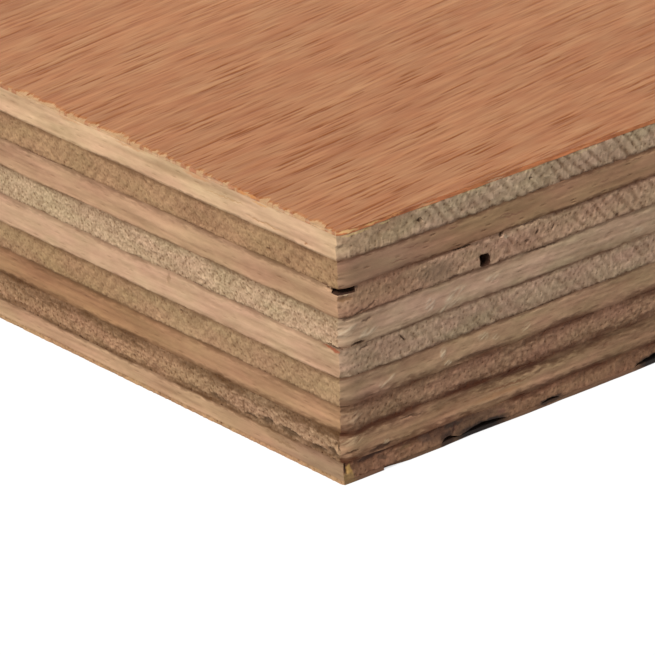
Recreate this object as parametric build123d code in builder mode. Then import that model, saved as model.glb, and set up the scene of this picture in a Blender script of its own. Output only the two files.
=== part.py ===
"""Hardwood plywood sheet: eleven veneers glued crosswise, lying flat.

X runs along the sheet's length and the face grain, Y across it, Z up through the plies.
The origin is the centre of the underside. The damaged corner is at low X and low Y.
"""

import os

from build123d import *

# The sheet as it is sold
sheet_length = 2440.0
sheet_width = 1220.0

# The veneers as pressed, outside first
face_veneer_thickness = 0.3
back_veneer_thickness = 0.3
upper_crossband_thickness = 1.8
lower_crossband_thickness = 1.25
core_veneer_thickness = 2.0
# How thick each core ply came out of the press, bottom to top
core_thickness_shares = (1.03, 0.98, 0.98, 1.08, 1.075, 1.03, 1.0)

# Butt joints, where two veneers meet in a ply whose grain runs across the sheet
joint_gap_width = 0.4
joint_gap_reach = 25.0
# Where each cross ply's joint lies along the sheet
joint_place_shares = {
    "lower_crossband": 0.46,
    "core_ply_2": 0.56,
    "core_ply_4": 0.42,
    "core_ply_6": 0.53,
    "upper_crossband": 0.49,
}

# Void between two veneers of the sixth core ply, open on the front edge
core_void_from_corner = 12.6
core_void_width = 0.7
core_void_height = 0.9
core_void_reach = 40.0
core_void_corner_radius = 0.2

# Piece broken off the top of the sixth core ply, at the corner
corner_chip_length = 1.3
corner_chip_width = 0.9
corner_chip_depth = 0.35

# Strip of back veneer torn away along the front edge
tear_from_corner = 3.5
tear_length = 60.0
tear_depth = 1.1
# The tear's outline, along the edge and into the sheet: long runs with the grain, short steps across it
tear_outline_shares = (
    (0.001, 0.68),
    (0.02, 0.5),
    (0.042, 0.36),
    (0.077, 0.27),
    (0.079, 0.14),
    (0.127, 0.14),
    (0.13, 0.45),
    (0.178, 0.64),
    (0.182, 0.86),
    (0.308, 0.68),
    (0.313, 1.0),
    (0.408, 0.77),
    (0.417, 0.45),
    (0.667, 0.55),
    (0.675, 0.23),
    (0.99, 0.12),
)

# Scallops broken out of the lower crossband's underside, along the torn stretch of the front edge
scallop_stretch = 32.0
scallop_height = 0.5
scallop_start_shares = (0.256, 0.55, 0.822)
scallop_length_shares = (0.2, 0.055, 0.15)
scallop_height_shares = (0.9, 0.6, 1.0)

# How far a cutting tool runs past the face that it opens
overrun = 1.0


def stack_plies():
    """Each ply's underside height and thickness, bottom to top."""
    thicknesses = {
        "back_veneer": back_veneer_thickness,
        "lower_crossband": lower_crossband_thickness,
    }
    for number, share in enumerate(core_thickness_shares, start=1):
        thicknesses[f"core_ply_{number}"] = core_veneer_thickness * share
    thicknesses["upper_crossband"] = upper_crossband_thickness
    thicknesses["face_veneer"] = face_veneer_thickness
    plies = {}
    height = 0.0
    for name, thickness in thicknesses.items():
        plies[name] = (height, thickness)
        height += thickness
    return plies


plies = stack_plies()
left_end = -sheet_length / 2
front_edge = -sheet_width / 2


def joint_gap(name):
    """Tool that opens a cross ply's butt joint, a short way in from both long edges."""
    bottom, thickness = plies[name]
    place = left_end + sheet_length * joint_place_shares[name]
    with BuildPart() as gap:
        with BuildSketch(Plane.XY.offset(bottom)):
            with Locations((place, front_edge), (place, -front_edge)):
                Rectangle(joint_gap_width, joint_gap_reach * 2)
        extrude(amount=thickness)
    return gap.part


def core_void():
    """Tool for the void beside the joint in the sixth core ply, on the ply's underside."""
    bottom, _ = plies["core_ply_6"]
    with BuildPart() as void:
        with BuildSketch(Plane.XZ.offset(-front_edge + overrun)) as mouth:
            with Locations((left_end + core_void_from_corner, bottom)):
                Rectangle(core_void_width, core_void_height, align=(Align.CENTER, Align.MIN))
            fillet(mouth.vertices().group_by(Axis.Y)[-1], core_void_corner_radius)
        extrude(amount=-(core_void_reach + overrun))
    return void.part


def corner_chip():
    """Tool for the three-sided piece missing from the corner of the sixth core ply's top."""
    bottom, thickness = plies["core_ply_6"]
    outer_x = left_end - overrun
    outer_y = front_edge - overrun
    # The broken face's line, run on past both edges of the corner
    far_x = left_end + corner_chip_length * (1 + overrun / corner_chip_width)
    far_y = front_edge + corner_chip_width * (1 + overrun / corner_chip_length)
    with BuildPart() as chip:
        with BuildSketch(Plane.XY.offset(bottom + thickness - corner_chip_depth)):
            with BuildLine():
                Polyline((outer_x, outer_y), (far_x, outer_y), (outer_x, far_y), close=True)
            make_face()
        extrude(amount=corner_chip_depth + overrun)
    return chip.part


def torn_strip():
    """Tool for the strip of back veneer missing along the front edge."""
    bottom, thickness = plies["back_veneer"]
    start = left_end + tear_from_corner
    torn_edge = [
        (start + tear_length * along, front_edge + tear_depth * inward)
        for along, inward in tear_outline_shares
    ]
    first = (start, front_edge - overrun)
    last = (start + tear_length, front_edge - overrun)
    with BuildPart() as tear:
        with BuildSketch(Plane.XY.offset(bottom - overrun)):
            with BuildLine():
                Polyline(first, *torn_edge, last, close=True)
            make_face()
        extrude(amount=thickness + overrun * 2)
    return tear.part


def scallops():
    """Tools for the scallops: each an arc turned about the crossband's lower front arris."""
    bottom, _ = plies["lower_crossband"]
    rows = zip(scallop_start_shares, scallop_length_shares, scallop_height_shares)
    tools = []
    for start_share, length_share, height_share in rows:
        start = left_end + scallop_stretch * start_share
        end = start + scallop_stretch * length_share
        crown = bottom + scallop_height * height_share
        with BuildPart() as scallop:
            with BuildSketch(Plane.XZ.offset(-front_edge)):
                with BuildLine():
                    ThreePointArc((start, bottom), ((start + end) / 2, crown), (end, bottom))
                    Line((end, bottom), (start, bottom))
                make_face()
            arris = Axis((start, front_edge, bottom), (1, 0, 0))
            revolve(axis=arris)
        tools.append(scallop.part)
    return tools


def make_ply(name, tools):
    """One veneer, trimmed with the sheet, with its gaps and damage cut out of it."""
    bottom, thickness = plies[name]
    with BuildPart() as ply:
        with BuildSketch(Plane.XY.offset(bottom)):
            Rectangle(sheet_length, sheet_width)
        extrude(amount=thickness)
        for tool in tools:
            add(tool, mode=Mode.SUBTRACT)
    ply.part.label = name
    return ply


damage = {
    "back_veneer": [torn_strip()],
    "lower_crossband": scallops(),
    "core_ply_6": [core_void(), corner_chip()],
}

os.makedirs("parts", exist_ok=True)
for name in plies:
    gaps = [joint_gap(name)] if name in joint_place_shares else []
    ply = make_ply(name, gaps + damage.get(name, []))
    export_step(ply.part, f"parts/{name}.step")
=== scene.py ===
"""A plywood sheet's veneers, modelled over its packed solids, with a studio round one corner."""

import math
from collections import namedtuple

import bmesh
import bpy
from bpy.props import FloatProperty, FloatVectorProperty, PointerProperty
from bpy.types import Operator, Panel, PropertyGroup
from mathutils import Matrix, Vector


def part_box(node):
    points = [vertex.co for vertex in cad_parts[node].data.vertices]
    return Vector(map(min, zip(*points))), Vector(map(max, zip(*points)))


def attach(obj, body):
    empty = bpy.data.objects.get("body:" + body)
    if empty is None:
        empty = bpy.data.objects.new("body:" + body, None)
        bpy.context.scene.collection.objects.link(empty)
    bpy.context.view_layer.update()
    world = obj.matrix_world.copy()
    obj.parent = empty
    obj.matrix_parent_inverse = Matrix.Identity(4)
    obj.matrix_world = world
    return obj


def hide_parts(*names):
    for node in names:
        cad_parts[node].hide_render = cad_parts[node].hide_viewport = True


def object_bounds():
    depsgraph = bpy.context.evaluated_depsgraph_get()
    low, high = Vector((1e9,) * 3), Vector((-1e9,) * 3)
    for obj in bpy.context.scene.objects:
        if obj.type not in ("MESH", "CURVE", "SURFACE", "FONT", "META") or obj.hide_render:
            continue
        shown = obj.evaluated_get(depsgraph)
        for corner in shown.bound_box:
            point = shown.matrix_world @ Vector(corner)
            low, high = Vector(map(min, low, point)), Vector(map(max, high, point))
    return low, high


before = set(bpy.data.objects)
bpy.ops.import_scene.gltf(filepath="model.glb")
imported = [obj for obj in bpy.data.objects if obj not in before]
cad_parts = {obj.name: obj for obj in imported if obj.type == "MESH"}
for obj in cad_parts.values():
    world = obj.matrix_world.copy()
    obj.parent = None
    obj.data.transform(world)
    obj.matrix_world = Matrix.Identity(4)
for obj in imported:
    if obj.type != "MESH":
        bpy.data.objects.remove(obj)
cad_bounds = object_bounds()

bl_info = {
    "name": "Plywood sheet",
    "version": (1, 0, 0),
    "blender": (4, 5, 0),
    "location": "3D View > Sidebar > Plywood",
    "description": "Models the veneers of a plywood sheet, with sawn edges and a broken corner",
    "category": "Object",
}

MM = 0.001

sheet_low = Vector(cad_bounds[0])
sheet_high = Vector(cad_bounds[1])
HALF_LENGTH = sheet_high.x / MM
HALF_WIDTH = sheet_high.y / MM
ALONG, ACROSS = 0.0, math.pi / 2


def linear(code):
    """Turn an sRGB hex code into the linear colour that a shader takes."""
    parts = [int(code[i : i + 2], 16) / 255 for i in (1, 3, 5)]
    return tuple(p / 12.92 if p <= 0.04045 else ((p + 0.055) / 1.055) ** 2.4 for p in parts)


# The plies from the bottom up, with the way their fibres run
GRAIN = {
    "back_veneer": ALONG,
    "lower_crossband": ACROSS,
    "core_ply_1": ALONG,
    "core_ply_2": ACROSS,
    "core_ply_3": ALONG,
    "core_ply_4": ACROSS,
    "core_ply_5": ALONG,
    "core_ply_6": ACROSS,
    "core_ply_7": ALONG,
    "upper_crossband": ACROSS,
    "face_veneer": ALONG,
}
PLIES = list(GRAIN)

# The glue line over each ply: how far it stains the wood below and above it in mm, and how darkly,
# on the sheet's sides and then on its ends; the widest and darkest are partly painted shade
GLUE_LINES = {
    "back_veneer": ((0.10, 0.10, 0.30), (0.10, 0.10, 0.20)),
    # Partly painted shade: these three wide dark bands are glue stain and painted shade
    "lower_crossband": ((0.52, 0.46, 0.98), (0.24, 0.50, 0.95)),
    "core_ply_1": ((0.75, 0.60, 1.00), (1.00, 0.30, 1.00)),
    "core_ply_2": ((0.70, 0.45, 0.86), (0.42, 0.14, 0.76)),
    "core_ply_3": ((0.22, 0.18, 0.76), (0.40, 0.12, 0.68)),
    "core_ply_4": ((0.24, 0.16, 0.74), (0.38, 0.12, 0.58)),
    "core_ply_5": ((0.24, 0.16, 0.70), (0.36, 0.12, 0.70)),
    "core_ply_6": ((0.26, 0.20, 0.82), (0.38, 0.14, 0.74)),
    "core_ply_7": ((0.24, 0.20, 0.76), (0.38, 0.14, 0.70)),
    "upper_crossband": ((0.06, 0.06, 0.20), (0.06, 0.06, 0.10)),
}

# The colour of each ply's sawn wood, on the sheet's sides and on its ends
SAWN_COLOURS = {
    "back_veneer": ("#7E5C45", "#B38A64"),
    "lower_crossband": ("#966D52", "#BA9270"),
    "core_ply_1": ("#A68061", "#A67F5E"),
    "core_ply_2": ("#A17B5F", "#A77D59"),
    "core_ply_3": ("#B28D6D", "#A78461"),
    "core_ply_4": ("#AF9075", "#C49D7C"),
    "core_ply_5": ("#BB9A7D", "#B89978"),
    "core_ply_6": ("#B69175", "#BB9270"),
    "core_ply_7": ("#AA8261", "#A6805C"),
    "upper_crossband": ("#B5987B", "#D2AB85"),
    "face_veneer": ("#BD7348", "#BB7F5A"),
}

# How much darker and lighter than its colour each kind of wood gets, in red, green and blue
SAWN_SHADES = ((0.52, 0.46, 0.40), (1.48, 1.54, 1.60))
SKIN_SHADES = ((0.70, 0.56, 0.44), (1.30, 1.44, 1.62))
TORN_SHADES = ((0.7, 0.62, 0.5), (1.2, 1.25, 1.3))

# Where two veneers of a cross ply meet, as a share of the sheet's length
JOINTS = {
    "lower_crossband": 0.46,
    "core_ply_2": 0.56,
    "core_ply_4": 0.42,
    "core_ply_6": 0.53,
    "upper_crossband": 0.49,
}

# Marks on the sawn edges beside the broken corner: splits, missing and frayed fibres, stains, loose
# pale fibres, painted shade inside and round the breaks, and a painted highlight on a lit lip. Of
# each, in mm: its place along the edge from the corner and up from the underside, half its length
# and half its height; then its lean in degrees, how deep it is in mm, its colour, and how much of
# that colour it takes. Where the depth is less than nothing its fibres stand up, and show as
# flecks.
Mark = namedtuple("Mark", "along up half_length half_height lean depth colour share")
MARKS = {
    ("face_veneer", "side"): (
        # Bright torn fibres along the top arris
        (0.9, 17.86, 0.9, 0.11, 0, 0.0, "#E8BC80", 0.75),
        (2.9, 17.84, 0.8, 0.09, 0, 0.0, "#E0B070", 0.7),
        (4.9, 17.88, 0.9, 0.09, 0, 0.0, "#E49C62", 0.8),
        (7.6, 17.8, 1.1, 0.09, 0, 0.0, "#E2A878", 0.7),
        (10.6, 17.9, 1.2, 0.09, 0, 0.0, "#E08C5C", 0.8),
        (13.6, 17.82, 1.0, 0.09, 0, 0.0, "#E4B48C", 0.7),
        (17.0, 17.9, 1.5, 0.08, 0, 0.0, "#DC8654", 0.7),
        (22.0, 17.84, 1.8, 0.09, 0, 0.0, "#DC9464", 0.6),
    ),
    ("upper_crossband", "side"): (
        # Missing fibres
        (7.0, 16.82, 0.2, 0.17, -40, 0.22, "#54392A", 0.85),
        (16.7, 16.98, 0.18, 0.1, -20, 0.12, "#5E4434", 0.7),
        # Frayed pale fibres under the face veneer
        (1.6, 17.58, 1.3, 0.1, 0, 0.0, "#DDBB80", 0.7),
        (4.0, 17.62, 0.6, 0.1, 0, 0.0, "#E2C48C", 0.75),
        (7.6, 17.62, 1.0, 0.09, 1, 0.0, "#D8BC8C", 0.6),
        (11.5, 17.6, 1.4, 0.09, -1, 0.0, "#D8BC8C", 0.55),
        (16.8, 17.62, 1.2, 0.08, 0, 0.0, "#D8BC8C", 0.5),
        (21.5, 17.6, 1.6, 0.08, 1, 0.0, "#D8BC8C", 0.45),
    ),
    ("core_ply_7", "side"): (
        # Fine dark runs along the grain
        (6.3, 15.22, 0.7, 0.06, -3, 0.0, "#7E5642", 0.6),
        (5.2, 14.58, 0.95, 0.06, -2, 0.0, "#7E5642", 0.6),
        (6.8, 14.32, 0.65, 0.07, -6, 0.0, "#7E5642", 0.6),
        (9.9, 15.48, 0.6, 0.06, 3, 0.0, "#7E5642", 0.6),
        (14.4, 15.02, 0.8, 0.06, -3, 0.0, "#7E5642", 0.6),
        (15.2, 14.82, 1.0, 0.07, -2, 0.0, "#7E5642", 0.6),
        (23.4, 14.87, 0.4, 0.08, 5, 0.0, "#7E5642", 0.6),
        (26.4, 15.58, 0.7, 0.06, -5, 0.0, "#7E5642", 0.6),
    ),
    ("core_ply_6", "side"): (
        # Splits and missing fibres, with a pale lip beside one
        (10.6, 13.86, 0.85, 0.15, -6, 0.3, "#4A3020", 0.85),
        (14.1, 13.74, 0.2, 0.16, 0, 0.3, "#4A3020", 0.9),
        (14.5, 13.45, 0.32, 0.15, -20, 0.0, "#CDB497", 0.7),
        (16.6, 13.84, 1.6, 0.09, 0, 0.08, "#5E4130", 0.7),
        (6.6, 11.92, 0.8, 0.1, 0, 0.08, "#5E4130", 0.7),
        (9.9, 11.92, 0.65, 0.12, 0, 0.1, "#5E4130", 0.75),
        (17.3, 12.95, 0.13, 0.2, -40, 0.15, "#5A4030", 0.75),
        (16.4, 12.55, 0.18, 0.14, -40, 0.12, "#5A4030", 0.7),
        (18.7, 12.9, 0.12, 0.2, -40, 0.1, "#5A4030", 0.6),
        (24.6, 12.05, 0.22, 0.14, 0, 0.1, "#5A4030", 0.6),
        (12.45, 13.05, 0.2, 0.14, 0, 0.0, "#9A7264", 0.5),
        # The pale lip under the corner slot, a splinter with a painted highlight, and painted
        # shadow below it
        (0.45, 13.55, 0.5, 0.12, 0, 0.0, "#E0C09A", 0.9),
        (0.5, 13.15, 0.7, 0.22, 0, 0.05, "#8A6440", 0.7),
        (1.9, 11.95, 0.7, 0.09, 10, 0.08, "#5E4332", 0.6),
        (2.7, 12.2, 0.45, 0.09, 25, 0.06, "#6A4C38", 0.6),
        # Painted shade round the void and inside the corner slot
        (12.62, 12.34, 0.62, 0.6, 0, 0.0, "#5A3828", 0.4),
        (0.75, 13.9, 1.0, 0.2, -6, 0.0, "#2A180E", 0.9),
        # A smooth dull patch
        (8.4, 12.75, 1.8, 0.75, -4, 0.02, "#826951", 0.65),
    ),
    ("core_ply_5", "side"): (
        # Splits along the glue lines
        (17.7, 11.72, 1.8, 0.1, 0, 0.08, "#5E4130", 0.75),
        (0.7, 11.7, 0.45, 0.12, 0, 0.12, "#5E4332", 0.6),
        (2.3, 11.2, 0.5, 0.09, 5, 0.08, "#6E5240", 0.6),
        (1.5, 9.78, 0.6, 0.1, 0, 0.14, "#4E3626", 0.8),
        # Loose pale fibres
        (0.7, 10.8, 0.9, 0.5, 20, -0.04, "#D2BC9C", 0.65),
        (2.4, 10.35, 0.9, 0.3, 10, -0.04, "#D8C2A4", 0.7),
        (7.75, 10.62, 0.6, 0.45, 40, -0.05, "#DCC6AA", 0.75),
        (9.9, 10.75, 1.1, 0.4, 15, -0.04, "#DAC4A4", 0.75),
        (9.5, 10.1, 1.3, 0.26, 12, -0.04, "#D6C0A0", 0.7),
        (13.2, 10.9, 0.7, 0.25, 10, -0.03, "#D2BC9E", 0.6),
        (26.5, 10.4, 0.6, 0.3, 0, -0.02, "#D2BC9E", 0.5),
    ),
    ("core_ply_4", "side"): (
        # A split and a darker run
        (5.4, 8.95, 0.48, 0.09, -45, 0.16, "#5A4434", 0.75),
        (2.0, 9.35, 0.45, 0.09, 10, 0.08, "#6E5240", 0.6),
    ),
    ("core_ply_3", "side"): (
        # A darker run over the glue line
        (12.0, 5.74, 2.4, 0.2, 0, 0.08, "#6B4A34", 0.6),
        # Loose pale fibres
        (3.9, 6.35, 0.9, 0.26, 20, -0.03, "#D8BE9C", 0.7),
        (8.85, 6.75, 0.3, 0.5, -10, -0.04, "#DAC2A0", 0.8),
        (9.2, 5.96, 0.34, 0.24, 20, -0.04, "#E4CEAC", 0.8),
        (12.4, 6.85, 0.6, 0.3, -10, -0.03, "#D6C09C", 0.75),
        (13.4, 6.55, 0.5, 0.24, -20, -0.03, "#D6BC9A", 0.7),
        (16.2, 6.4, 0.5, 0.3, 20, -0.03, "#D2B892", 0.7),
    ),
    ("core_ply_2", "side"): (
        # Loose pale fibres
        (1.2, 4.6, 0.8, 0.5, 0, -0.03, "#C8A888", 0.5),
    ),
    ("core_ply_1", "side"): (
        # Darker and lighter runs along the grain
        (14.8, 2.66, 2.2, 0.09, -1, 0.0, "#7E5034", 0.6),
        (13.6, 2.3, 2.6, 0.22, 0, 0.0, "#B08058", 0.5),
        # Splits
        (6.0, 3.15, 1.2, 0.09, -3, 0.06, "#5A3E2A", 0.7),
        (3.4, 1.76, 1.1, 0.18, 6, 0.06, "#44291A", 0.85),
        (0.8, 2.15, 0.7, 0.09, 6, 0.08, "#5A3E28", 0.7),
        # Loose pale fibres
        (3.75, 2.05, 0.34, 0.2, 20, -0.04, "#E0C8A2", 0.8),
        (0.9, 2.9, 0.9, 0.4, 0, -0.03, "#D8B890", 0.6),
    ),
    ("lower_crossband", "side"): (
        # Stains and missing fibres
        (2.6, 1.42, 1.6, 0.22, 6, 0.08, "#3A2218", 0.85),
        (5.4, 1.05, 0.55, 0.16, 0, 0.05, "#8A6A48", 0.6),
        (3.4, 0.95, 0.5, 0.2, -20, 0.05, "#4E3828", 0.6),
        (7.3, 1.05, 0.8, 0.3, -20, 0.04, "#5E463A", 0.5),
        (13.9, 0.95, 0.45, 0.2, -15, 0.0, "#8E5C50", 0.55),
        (9.7, 1.32, 0.9, 0.22, 0, 0.04, "#3A2A1E", 0.8),
        # Painted shade inside the pockets and round them
        (12.3, 0.5, 2.6, 0.34, 0, 0.0, "#20140E", 1.0),
        (9.1, 0.5, 0.6, 0.6, -10, 0.06, "#341C12", 0.9),
        (9.75, 1.0, 0.14, 0.5, -14, 0.06, "#4A2418", 0.8),
        (18.4, 0.4, 1.3, 0.2, 0, 0.0, "#2E1E16", 0.9),
        (28.6, 0.5, 2.6, 0.36, 0, 0.0, "#20140E", 1.0),
        (10.8, 1.0, 4.4, 0.8, 0, 0.0, "#3C2A20", 0.5),
        # The corner's crack, the splinter beside it and its olive root
        (0.24, 1.15, 0.12, 0.45, 6, 0.2, "#361E10", 0.95),
        (0.6, 0.98, 0.24, 0.46, 4, 0.0, "#B89054", 0.9),
        (0.35, 0.5, 0.8, 0.3, 0, 0.0, "#94764A", 0.75),
    ),
    ("back_veneer", "side"): (
        # Painted shade under the pockets
        (12.1, 0.2, 2.7, 0.46, 0, 0.0, "#1C110B", 1.0),
        (9.1, 0.2, 0.8, 0.36, 0, 0.0, "#2A1810", 0.9),
        (18.4, 0.25, 1.3, 0.2, 0, 0.0, "#2E1E16", 0.8),
        (28.4, 0.2, 2.2, 0.46, 0, 0.0, "#1C110B", 1.0),
        # Under the corner's splinter
        (0.4, 0.15, 0.9, 0.3, 0, 0.0, "#94764A", 0.6),
    ),
    ("face_veneer", "end"): (
        # Where the saw tore its edge pale
        (2.2, 17.84, 1.6, 0.14, 0, 0.03, "#DDBB94", 0.45),
        (5.6, 17.78, 1.2, 0.12, 0, 0.03, "#E0C29A", 0.5),
        (9.2, 17.86, 1.3, 0.14, 0, 0.0, "#DB9556", 0.7),
        (12.4, 17.8, 1.6, 0.12, 0, 0.03, "#DDBB94", 0.4),
        (18.0, 17.78, 2.2, 0.12, 0, 0.02, "#DDBB94", 0.4),
        (24.5, 17.8, 1.8, 0.12, 0, 0.02, "#DDBB94", 0.4),
        (31.0, 17.78, 2.6, 0.12, 0, 0.02, "#DDBB94", 0.5),
    ),
    ("upper_crossband", "end"): (
        # Redder wood under the face veneer
        (14.5, 17.55, 1.5, 0.14, 0, 0.0, "#C98F62", 0.6),
        (21.5, 17.58, 1.8, 0.12, 0, 0.0, "#C98F62", 0.5),
        (8.0, 17.58, 1.0, 0.1, 0, 0.0, "#D0965C", 0.6),
        (28.0, 17.58, 1.6, 0.12, 0, 0.0, "#C98F62", 0.5),
        # Fine brown runs
        (3.4, 16.2, 0.25, 0.1, 0, 0.08, "#9A6840", 0.7),
        (7.6, 16.35, 2.2, 0.05, 2, 0.04, "#B08050", 0.6),
        (11.5, 16.95, 2.4, 0.05, -2, 0.04, "#B08050", 0.5),
    ),
    ("core_ply_7", "end"): (
        # Dark pits
        (5.3, 14.32, 0.35, 0.12, 25, 0.2, "#6A4A30", 0.8),
        (7.2, 14.6, 0.3, 0.12, 10, 0.15, "#6E4E34", 0.7),
    ),
    ("core_ply_6", "end"): (
        # A split at its upper glue line
        (0.9, 13.72, 0.7, 0.1, 8, 0.3, "#5E3A24", 0.9),
    ),
    ("core_ply_5", "end"): (
        # A split at its lower glue line
        (0.7, 9.72, 0.9, 0.09, 4, 0.35, "#4A2C1C", 0.9),
    ),
    ("core_ply_4", "end"): (
        # A red wedge under that split, and a brown streak
        (1.0, 9.5, 1.0, 0.14, 4, 0.04, "#9C4C2C", 0.75),
        (17.8, 9.1, 0.18, 0.45, 12, 0.08, "#9A7858", 0.6),
    ),
    ("core_ply_3", "end"): (
        # A dark pit
        (16.6, 7.05, 0.16, 0.16, 0, 0.15, "#6E4E34", 0.7),
    ),
    ("core_ply_1", "end"): (
        # A row of dark torn pits over its lower glue line
        (1.2, 2.05, 0.7, 0.3, 12, 0.15, "#4E3620", 0.85),
        (2.7, 1.85, 1.0, 0.16, -4, 0.12, "#4E3620", 0.8),
        (5.6, 1.98, 1.3, 0.26, 3, 0.14, "#523A22", 0.85),
        (7.9, 2.02, 0.7, 0.3, -8, 0.14, "#4E3620", 0.85),
        (9.6, 1.85, 0.9, 0.14, 3, 0.1, "#5A4028", 0.75),
        (12.9, 1.92, 1.2, 0.18, 3, 0.12, "#5A4028", 0.75),
        (15.6, 1.9, 0.6, 0.13, 3, 0.08, "#644A30", 0.6),
        (0.6, 2.6, 0.25, 0.3, 0, 0.12, "#5A4028", 0.7),
    ),
    ("lower_crossband", "end"): (
        # A brown run
        (6.0, 0.95, 1.8, 0.1, 2, 0.0, "#7A5C3C", 0.5),
    ),
}

# Stretches where a ply's wood is lighter or darker than the rest: the ply, "side" or "end", the
# stretch's middle and half its length in mm, and the factors on red, green and blue
SHIFTS = (
    ("core_ply_1", "side", 8.5, 7.0, (1.2, 1.2, 1.2)),
    ("core_ply_1", "side", 25.0, 8.0, (0.93, 0.94, 0.93)),
    ("core_ply_2", "side", 2.0, 4.5, (0.93, 0.95, 0.93)),
    ("core_ply_3", "side", 1.5, 4.5, (0.88, 0.86, 0.9)),
    ("core_ply_6", "side", 2.8, 4.5, (0.84, 0.75, 0.72)),
    ("core_ply_7", "side", 3.0, 5.5, (0.93, 0.94, 1.06)),
    ("upper_crossband", "side", 2.5, 4.5, (1.02, 0.95, 0.92)),
    ("upper_crossband", "end", 5.5, 8.5, (0.94, 0.94, 0.95)),
    ("core_ply_3", "end", 28.0, 8.0, (0.93, 0.9, 0.85)),
    ("core_ply_2", "end", 8.0, 9.0, (1.08, 1.1, 1.18)),
    ("core_ply_2", "end", 28.0, 9.0, (0.88, 0.84, 0.8)),
    ("core_ply_1", "end", 6.0, 9.0, (1.03, 1.12, 1.18)),
    ("lower_crossband", "end", 1.5, 5.0, (0.7, 0.7, 0.72)),
    ("lower_crossband", "end", 9.5, 4.5, (0.87, 0.86, 0.84)),
    ("lower_crossband", "end", 26.0, 12.0, (1.1, 1.12, 1.15)),
)

# How strongly each pattern lightens the sawn wood, where the saw crossed the fibres and where
# it ran along them, and the plies that differ
END_GRAIN = {"fuzz": 0.75, "bundles": 0.25, "checks": 0.15, "blotches": 0.7, "pits": -0.3}
LONG_GRAIN = {"broad": 0.6, "fine": 0.4, "fuzz": 0.35, "blotches": 0.8, "pits": -0.2}
OWN_GRAIN = {
    ("upper_crossband", "side"): {"fuzz": 0.65, "checks": 0.44},
    ("core_ply_6", "side"): {"fuzz": 0.65, "checks": 0.34, "blotches": 0.9},
    ("core_ply_4", "side"): {"fuzz": 0.65, "checks": 0.24},
    ("core_ply_2", "side"): {"fuzz": 0.7, "checks": 0.14},
    ("lower_crossband", "side"): {"fuzz": 0.6, "checks": 0.1, "blotches": 1.5},
    ("core_ply_7", "side"): {"broad": 0.6, "pits": -0.4},
    ("core_ply_5", "side"): {"fuzz": 0.6},
    ("core_ply_3", "side"): {"fuzz": 0.6},
    ("core_ply_1", "side"): {"fuzz": 0.5, "broad": 0.9},
    ("face_veneer", "end"): {"fuzz": 0.2, "pits": -0.1},
    ("face_veneer", "side"): {"broad": 0.9, "fine": 0.7, "fuzz": 0.9},
    ("core_ply_5", "end"): {"fuzz": 1.2, "pits": -0.45},
    ("core_ply_1", "end"): {"fuzz": 1.3, "pits": -0.6},
}
# How far the skin's fibres lean from the sheet's length, in degrees
GRAIN_LEAN = 7.5
# How steeply the lathe checks slant, in degrees
CHECKS_LEAN = 42
# From how far along the edge the lathe checks are open, in mm from the corner
CHECKS_START = {
    ("upper_crossband", "side"): 7.0,
    ("core_ply_6", "side"): 13.0,
    ("core_ply_4", "side"): 4.5,
}

# How far each ply is worn back at the sheet's upright corner, in mm, on the side and on the end
CORNER_WEAR = {
    "back_veneer": (0.05, 0.05),
    "lower_crossband": (0.12, 0.05),
    "core_ply_1": (0.50, 0.06),
    "core_ply_2": (0.40, 0.10),
    "core_ply_3": (0.34, 0.06),
    "core_ply_4": (0.34, 0.05),
    "core_ply_5": (0.52, 0.08),
    "core_ply_6": (0.36, 0.06),
    "core_ply_7": (0.36, 0.08),
    "upper_crossband": (0.42, 0.05),
    "face_veneer": (0.40, 0.05),
}

# How far from the corner that wear reaches along each face, in mm
WEAR_REACH = {"side": 1.3, "end": 0.5}

# Relief, in mm: how far back the darkest sawn wood lies, how far the lightest stands out of it,
# and how much further back glue lies
DARK_BACK, LIGHT_OUT, GLUE_BACK = 0.15, 0.13, 0.04
# How deep the skin's pores are, and the chips along its end
PORE_DEPTH, CHIP_DEPTH = 0.03, 0.09
# How far up and down the glue lines wander
WANDER = 0.13
# How far round a mark's middle it still shows off its own face
MARK_REACH = 2.0
# All relief fades out over this stretch before the fine grid ends
FADE_START, FADE_END = 4.0, 0.5

# The face veneer's grid is finer across the fibres than along them, and fine along its end: the
# width of that fine strip in mm, and the steps in it, beyond it, across the fibres, and of each
# step beyond it on the side
FINE_STRIP = 1.5
STRIP_STEPS, FIBRE_STEPS, CROSS_STEPS, SIDE_STEPS = 15, 97, 400, 5

# Outlines of missing wood, in mm from the sheet's low corner. The void in the sixth core ply and
# the pockets in the lower crossband are seen from the side; the slot under the seventh core ply and
# the torn strip of back veneer are seen from above.
VOID_MOUTH = (
    (12.98, 11.9), (13.1, 12.08), (13.06, 12.5), (12.92, 12.74), (12.62, 12.78), (12.28, 12.82),
    (12.16, 12.7), (12.2, 12.3), (12.16, 12.04), (12.34, 11.9), (12.62, 11.86),
)
CORNER_SLOT = ((2.0, 2.2), (-1.0, 0.25), (-1.3, -1.3), (1.0, -1.0))
SLOT_HEIGHTS = (13.5, 14.4)
TEAR_HEIGHTS = (-0.5, 0.8)
# How far a cutting tool runs past the face that it opens
OVERRUN = 0.5
TORN_STRIP = (
    (63.5, -1.0), (62.9, 0.13), (44.0, 0.25), (43.5, 0.6), (31.5, 0.55), (29.0, 0.5),
    (28.4, 0.15), (26.2, 0.08), (22.0, 0.05), (19.4, 0.12), (17.2, 0.05), (14.2, 0.14),
    (11.4, 0.2), (9.2, 0.12), (8.1, 0.03), (6.2, 0.05), (5.2, 0.18), (4.2, 0.32), (3.53, 0.34),
    (3.5, -1.0),
)
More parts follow.
